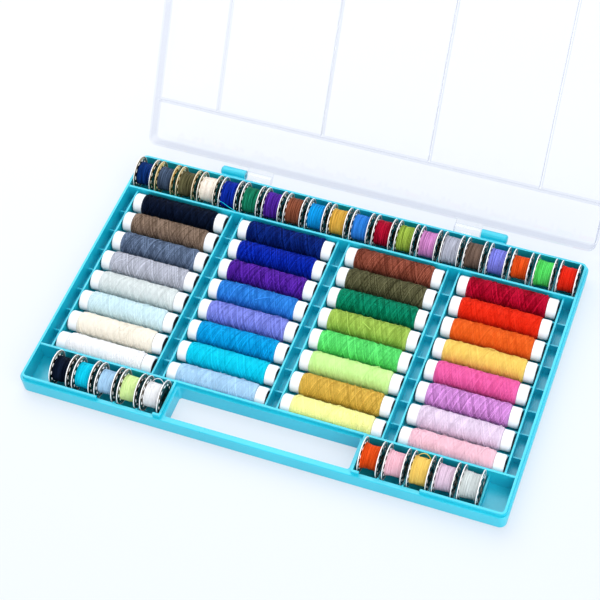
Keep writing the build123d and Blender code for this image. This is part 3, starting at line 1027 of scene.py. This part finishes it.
# %% Loose end
def strand_mesh(name, points, radius, sides=6):
    """A thin strand swept along a smooth line through some points, in millimetres."""
    points = np.array(points) * mm
    padded = np.vstack([2 * points[0] - points[1], points, 2 * points[-1] - points[-2]])
    share = np.linspace(0.0, 1.0, 8, endpoint=False)[:, None]
    line = []
    for a, b, c, d in zip(padded, padded[1:], padded[2:], padded[3:]):
        line.append(0.5 * (2 * b + (c - a) * share + (2 * a - 5 * b + 4 * c - d) * share ** 2
                           + (3 * b - a - 3 * c + d) * share ** 3))
    line = np.vstack([*line, points[-1]])
    along = np.gradient(line, axis=0)
    along /= np.linalg.norm(along, axis=1, keepdims=True)
    across = np.cross(along, (0.0, 0.0, 1.0))
    across /= np.linalg.norm(across, axis=1, keepdims=True)
    upright = np.cross(across, along)
    angle = np.linspace(0.0, 2 * math.pi, sides, endpoint=False)
    rings = (line[:, None] + radius * (np.cos(angle)[None, :, None] * across[:, None]
                                       + np.sin(angle)[None, :, None] * upright[:, None]))
    count = len(line)
    faces = [(r * sides + k, r * sides + (k + 1) % sides, (r + 1) * sides + (k + 1) % sides,
              (r + 1) * sides + k) for r in range(count - 1) for k in range(sides)]
    faces += [tuple(range(sides))[::-1], tuple((count - 1) * sides + k for k in range(sides))]
    mesh = bpy.data.meshes.new(name)
    mesh.from_pydata(rings.reshape(-1, 3).tolist(), [], [face[::-1] for face in faces])
    mesh.shade_smooth()
    tint = mesh.attributes.new("tint", "FLOAT", "POINT")
    tint.data.foreach_set("value", np.ones(count * sides, dtype=np.float32))
    return mesh


loose_end = [(-81.4, 66.3, 12.6), (-79.4, 65.0, 12.9), (-77.0, 64.6, 12.8), (-73.4, 62.9, 12.8),
             (-70.1, 61.7, 12.75), (-67.4, 60.8, 12.7)]
add_piece("bobbin_royal_blue_loose_end", strand_mesh("loose_end", loose_end, 0.16 * mm),
          thread("cyan", False), "bobbin_royal_blue")
print("loose end laid over the divider")

# %% [markdown]
# ## Floor and light
#
# The box stands on a white table in soft light from above. The floor and the backdrop get their
# paleness from their own colour, and a share of plain white that only the camera, reflections
# and the clear lid see, so that no extra light falls on the object. The floor keeps a shadow.

# %% Floor
def seen_plainly(graph):
    """1 where the camera sees a thing directly, in a reflection or through the lid."""
    rays = graph.node("ShaderNodeLightPath", out="Is Camera Ray")
    return rays.most(rays.out("Is Glossy Ray")).most(rays.out("Is Transmission Ray"))


def stage_finish(name, colour, share):
    material = bpy.data.materials.new(name)
    material.use_nodes = True
    graph = Graph(material.node_tree)
    graph.tree.nodes.clear()
    place = graph.node("ShaderNodeTexCoord", {}, out="Object")
    split = graph.node("ShaderNodeSeparateXYZ", {}, [place], out="X")
    # Beyond 0.4 m the table fades into the backdrop. In front of the box it is a little bluer.
    away = ((split ** 2.0 + split.out("Y") ** 2.0) ** 0.5).spread(0.4, 1.3)
    front = ((split * 0.8 - split.out("Y")) * 1.6 + 0.45).most(0.0).least(1.0 - away)
    paleness = graph.blend(front, linear(253, 254, 255), linear(233, 240, 249))
    surface = graph.node("ShaderNodeBsdfDiffuse", {}, {"Color": colour})
    glow = graph.node("ShaderNodeEmission", {}, {"Color": paleness, "Strength": 1.0})
    mixed = graph.node("ShaderNodeMixShader", {},
                       {0: seen_plainly(graph) * (away * (1.0 - share) + share),
                        1: surface, 2: glow})
    output = material.node_tree.nodes.new("ShaderNodeOutputMaterial")
    graph.tree.links.new(mixed.socket, output.inputs["Surface"])
    return material


floor_mesh = bpy.data.meshes.new("floor")
reach, drop = 6.0, -0.2 * mm
floor_mesh.from_pydata([(-reach, -reach, drop), (reach, -reach, drop), (reach, reach, drop),
                        (-reach, reach, drop)], [], [(0, 1, 2, 3)])
glow_share = 0.56
floor_mesh.materials.append(stage_finish("white_table", linear(226, 230, 238), glow_share))
floor = bpy.data.objects.new("floor", floor_mesh)
scene.collection.objects.link(floor)
print("floor reaches", reach, "m each way")

# %% World and lamps
world = bpy.data.worlds.new("studio")
scene.world = world
world.use_nodes = True
sky = Graph(world.node_tree)
sky.tree.nodes.clear()
ambient = sky.node("ShaderNodeBackground", {}, {"Color": linear(236, 243, 255),
                                                "Strength": 0.66})
backdrop = sky.node("ShaderNodeBackground", {}, {"Color": linear(252, 254, 255),
                                                 "Strength": 1.0})
mixed = sky.node("ShaderNodeMixShader", {}, {0: seen_plainly(sky), 1: ambient, 2: backdrop})
world_output = sky.tree.nodes.new("ShaderNodeOutputWorld")
sky.tree.links.new(mixed.socket, world_output.inputs["Surface"])


def softbox(name, place, size, power):
    """A rectangular soft lamp that points at the middle of the box."""
    lamp = bpy.data.lights.new(name, "AREA")
    lamp.shape, lamp.size, lamp.size_y = "RECTANGLE", *size
    lamp.energy = power
    holder = bpy.data.objects.new(name, lamp)
    holder.location = place
    holder.rotation_euler = (-Vector(place)).to_track_quat("-Z", "Y").to_euler()
    scene.collection.objects.link(holder)


softbox("key_softbox", (-0.5, 0.75, 1.25), (1.9, 1.6), 20.0)
softbox("fill_softbox", (0.9, -0.8, 0.9), (1.6, 1.6), 17.0)
print("lamps:", len(bpy.data.lights))
